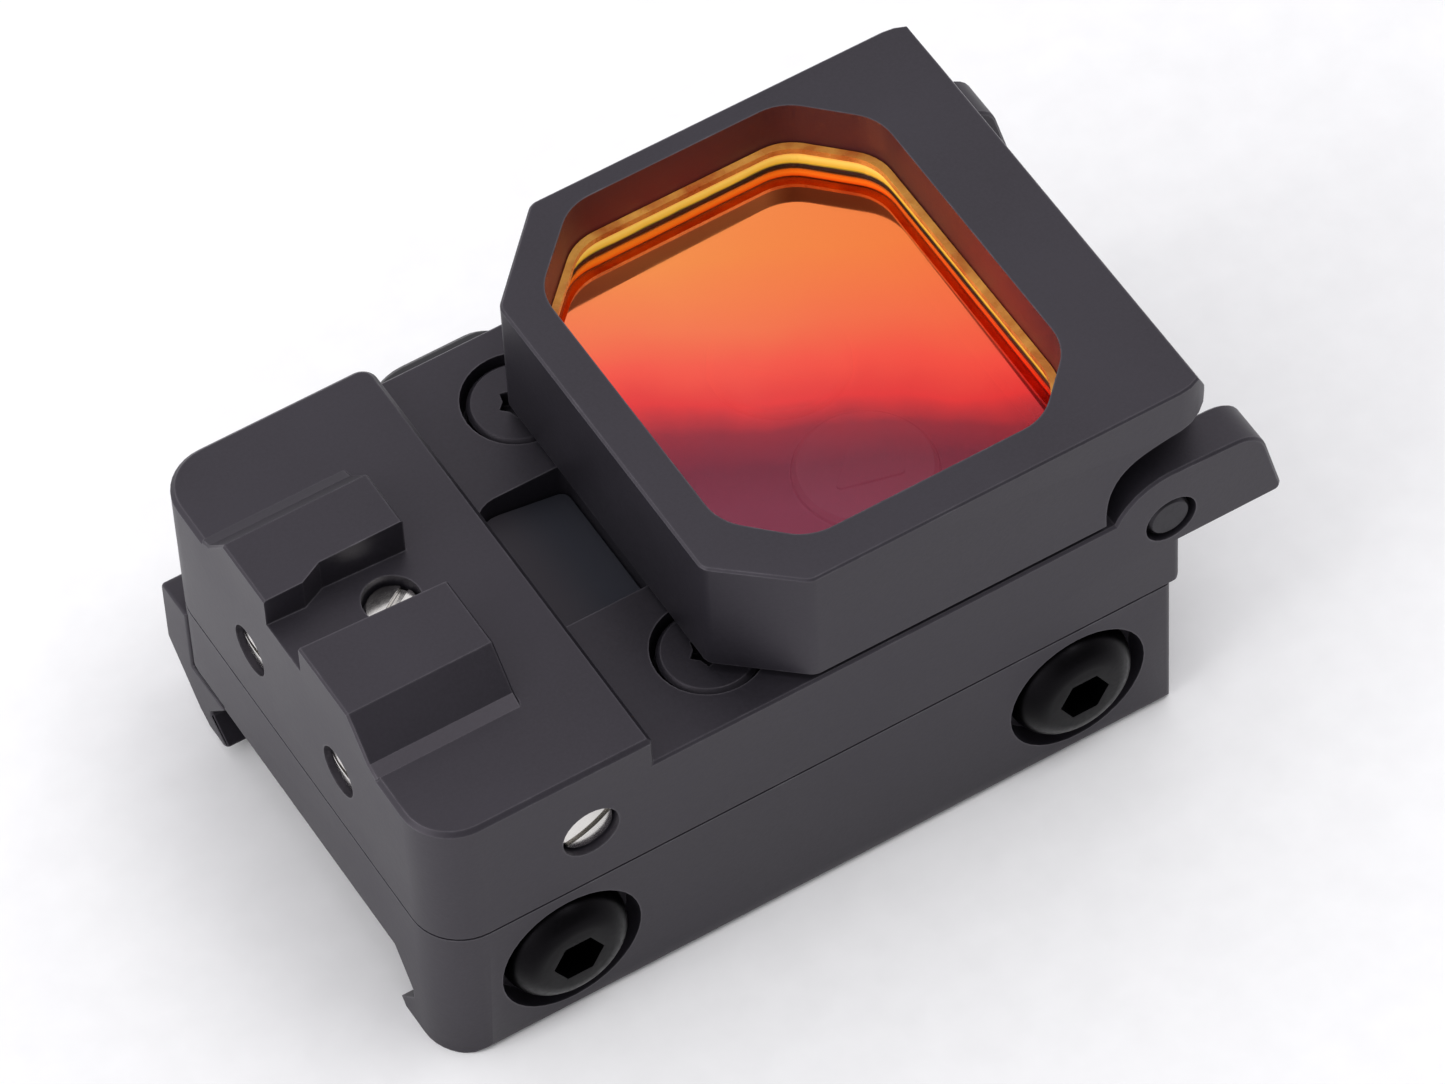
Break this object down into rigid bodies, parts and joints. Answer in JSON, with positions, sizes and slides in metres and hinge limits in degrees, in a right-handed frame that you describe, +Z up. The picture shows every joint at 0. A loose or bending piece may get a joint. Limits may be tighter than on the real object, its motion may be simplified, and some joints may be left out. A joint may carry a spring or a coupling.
{
  "type": "reflex red dot finder",
  "caption": "Folding reflex red dot finder: a flip-up framed lens on a low anodised housing with zeroing screws, over a rail clamp with a sliding jaw and cross bolts.",
  "frame": {"origin": "centre of the flat seat that rests on the rail's top, midway along the clamp and midway across the body", "axes": "+X along the rail towards the hinged, target end; +Y to the left, towards the sliding jaw; +Z up, away from the rail"},
  "size_m": [0.0511, 0.0309, 0.0258],
  "materials": {
    "anodised_aluminium": "fine matt black anodised, with a slight purple-grey sheen and bare bright edges where worn",
    "black_oxide_steel": "satin black oxide",
    "bright_steel": "bright nickel-plated",
    "spring_steel": "drawn wire",
    "black_plastic": "fine matt",
    "white_nylon": "satin",
    "amber_cement": "clear amber optical cement round the glass",
    "black_rubber": "matt",
    "coated_lens_glass": "polished, with a red-orange dichroic coating",
    "window_glass": "polished, smoked",
    "circuit_board": "green solder mask",
    "cell_steel": "plain nickel-plated steel",
    "brass": "machined"
  },
  "bodies": {
    "housing": {"rail_mount": "anodised_aluminium", "upper_housing": "anodised_aluminium", "housing_seal": "black_rubber", "emitter_window": "window_glass", "body_screw_right": "anodised_aluminium", "body_screw_left": "anodised_aluminium", "hinge_pin": "black_oxide_steel", "hinge_spring_right": "spring_steel", "hinge_spring_left": "spring_steel", "circuit_board": "circuit_board", "key_switch_up": "cell_steel", "key_switch_down": "cell_steel", "lid_sensor": "black_plastic", "control_chip": "black_plastic", "coin_cell": "cell_steel", "cell_contact": "brass", "button_spring": "spring_steel"},
    "lens_flap": {"lens_frame": "anodised_aluminium", "front_lens": "coated_lens_glass", "rear_lens": "coated_lens_glass", "lens_bead": "amber_cement", "switch_magnet": "bright_steel"},
    "release": {"release_button": "black_plastic", "latch_arm": "black_oxide_steel"},
    "key_up": {"brightness_up_key": "black_plastic"},
    "key_down": {"brightness_down_key": "black_plastic"},
    "elevation": {"elevation_screw": "bright_steel", "elevation_clip": "spring_steel"},
    "carriage": {"emitter_carriage": "anodised_aluminium"},
    "windage": {"windage_screw": "bright_steel", "windage_clip": "spring_steel"},
    "nut": {"windage_nut": "brass"},
    "emitter": {"led_holder": "black_plastic", "led_emitter": "white_nylon"},
    "lock_tip_r": {"lock_tip_right": "white_nylon"},
    "lock_r": {"lock_screw_right": "bright_steel"},
    "lock_tip_l": {"lock_tip_left": "white_nylon"},
    "lock_l": {"lock_screw_left": "bright_steel"},
    "bolt_front": {"cross_bolt_front": "black_oxide_steel"},
    "bolt_rear": {"cross_bolt_rear": "black_oxide_steel"},
    "jaw": {"clamp_jaw": "anodised_aluminium"}
  },
  "joints": [
    {"name": "lens_fold", "type": "hinge", "parent": "housing", "child": "lens_flap", "pos_m": [0.0221, 0, 0.0107], "axis": [0, 1, 0], "range_deg": [0, 90], "deforming": ["hinge_spring_right", "hinge_spring_left"]},
    {"name": "release_press", "type": "slide", "parent": "housing", "child": "release", "axis": [0, -1, 0], "range_m": [0, 0.0007], "stiffness_N_per_m": 1500, "springref_m": -0.0005, "deforming": ["button_spring"]},
    {"name": "key_up_press", "type": "slide", "parent": "housing", "child": "key_up", "axis": [0, 0, -1], "range_m": [0, 0.0004], "stiffness_N_per_m": 2000, "springref_m": -0.0002},
    {"name": "key_down_press", "type": "slide", "parent": "housing", "child": "key_down", "axis": [0, 0, -1], "range_m": [0, 0.0004], "stiffness_N_per_m": 2000, "springref_m": -0.0002},
    {"name": "elevation_turn", "type": "hinge", "parent": "housing", "child": "elevation", "pos_m": [-0.01585, 0.0003, 0.01345], "axis": [0, 0, 1], "range_deg": [-720.5, 720.5]},
    {"name": "carriage_lift", "type": "slide", "parent": "housing", "child": "carriage", "axis": [0, 0, 1], "range_m": [-0.0008, 0.0008]},
    {"name": "windage_turn", "type": "hinge", "parent": "housing", "child": "windage", "pos_m": [-0.01304, -0.0142, 0.00933], "axis": [0, 1, 0], "range_deg": [-720.5, 720.5]},
    {"name": "nut_shift", "type": "slide", "parent": "housing", "child": "nut", "axis": [0, 1, 0], "range_m": [-0.0008, 0.0008]},
    {"name": "emitter_shift", "type": "slide", "parent": "carriage", "child": "emitter", "axis": [0, 1, 0], "range_m": [-0.00081, 0.00081]},
    {"name": "lock_tip_right_slide", "type": "slide", "parent": "housing", "child": "lock_tip_r", "axis": [-1, 0, 0], "range_m": [0, 0.0009]},
    {"name": "lock_right_turn", "type": "hinge", "parent": "lock_tip_r", "child": "lock_r", "pos_m": [-0.0219, -0.0046, 0.00995], "axis": [-1, 0, 0], "range_deg": [0, 720.5]},
    {"name": "lock_tip_left_slide", "type": "slide", "parent": "housing", "child": "lock_tip_l", "axis": [-1, 0, 0], "range_m": [0, 0.0009]},
    {"name": "lock_left_turn", "type": "hinge", "parent": "lock_tip_l", "child": "lock_l", "pos_m": [-0.0219, 0.0046, 0.00995], "axis": [-1, 0, 0], "range_deg": [0, 720.5]},
    {"name": "front_bolt_turn", "type": "hinge", "parent": "housing", "child": "bolt_front", "pos_m": [0.01625, -0.0145, 0.00027], "axis": [0, -1, 0], "range_deg": [0, 900.5]},
    {"name": "rear_bolt_turn", "type": "hinge", "parent": "housing", "child": "bolt_rear", "pos_m": [-0.0147, -0.0145, 0.00027], "axis": [0, -1, 0], "range_deg": [0, 900.5]},
    {"name": "jaw_slide", "type": "slide", "parent": "housing", "child": "jaw", "axis": [0, 1, 0], "range_m": [0, 0.00175]}
  ],
  "couplings": [
    {"joint": "elevation_turn", "follows": "carriage_lift", "rad_per_m": 15708},
    {"joint": "windage_turn", "follows": "nut_shift", "rad_per_m": 15708},
    {"joint": "emitter_shift", "follows": "nut_shift", "ratio": 1},
    {"joint": "lock_right_turn", "follows": "lock_tip_right_slide", "rad_per_m": 13963},
    {"joint": "lock_left_turn", "follows": "lock_tip_left_slide", "rad_per_m": 13963},
    {"joint": "front_bolt_turn", "follows": "jaw_slide", "rad_per_m": 8976},
    {"joint": "rear_bolt_turn", "follows": "jaw_slide", "rad_per_m": 8976}
  ]
}
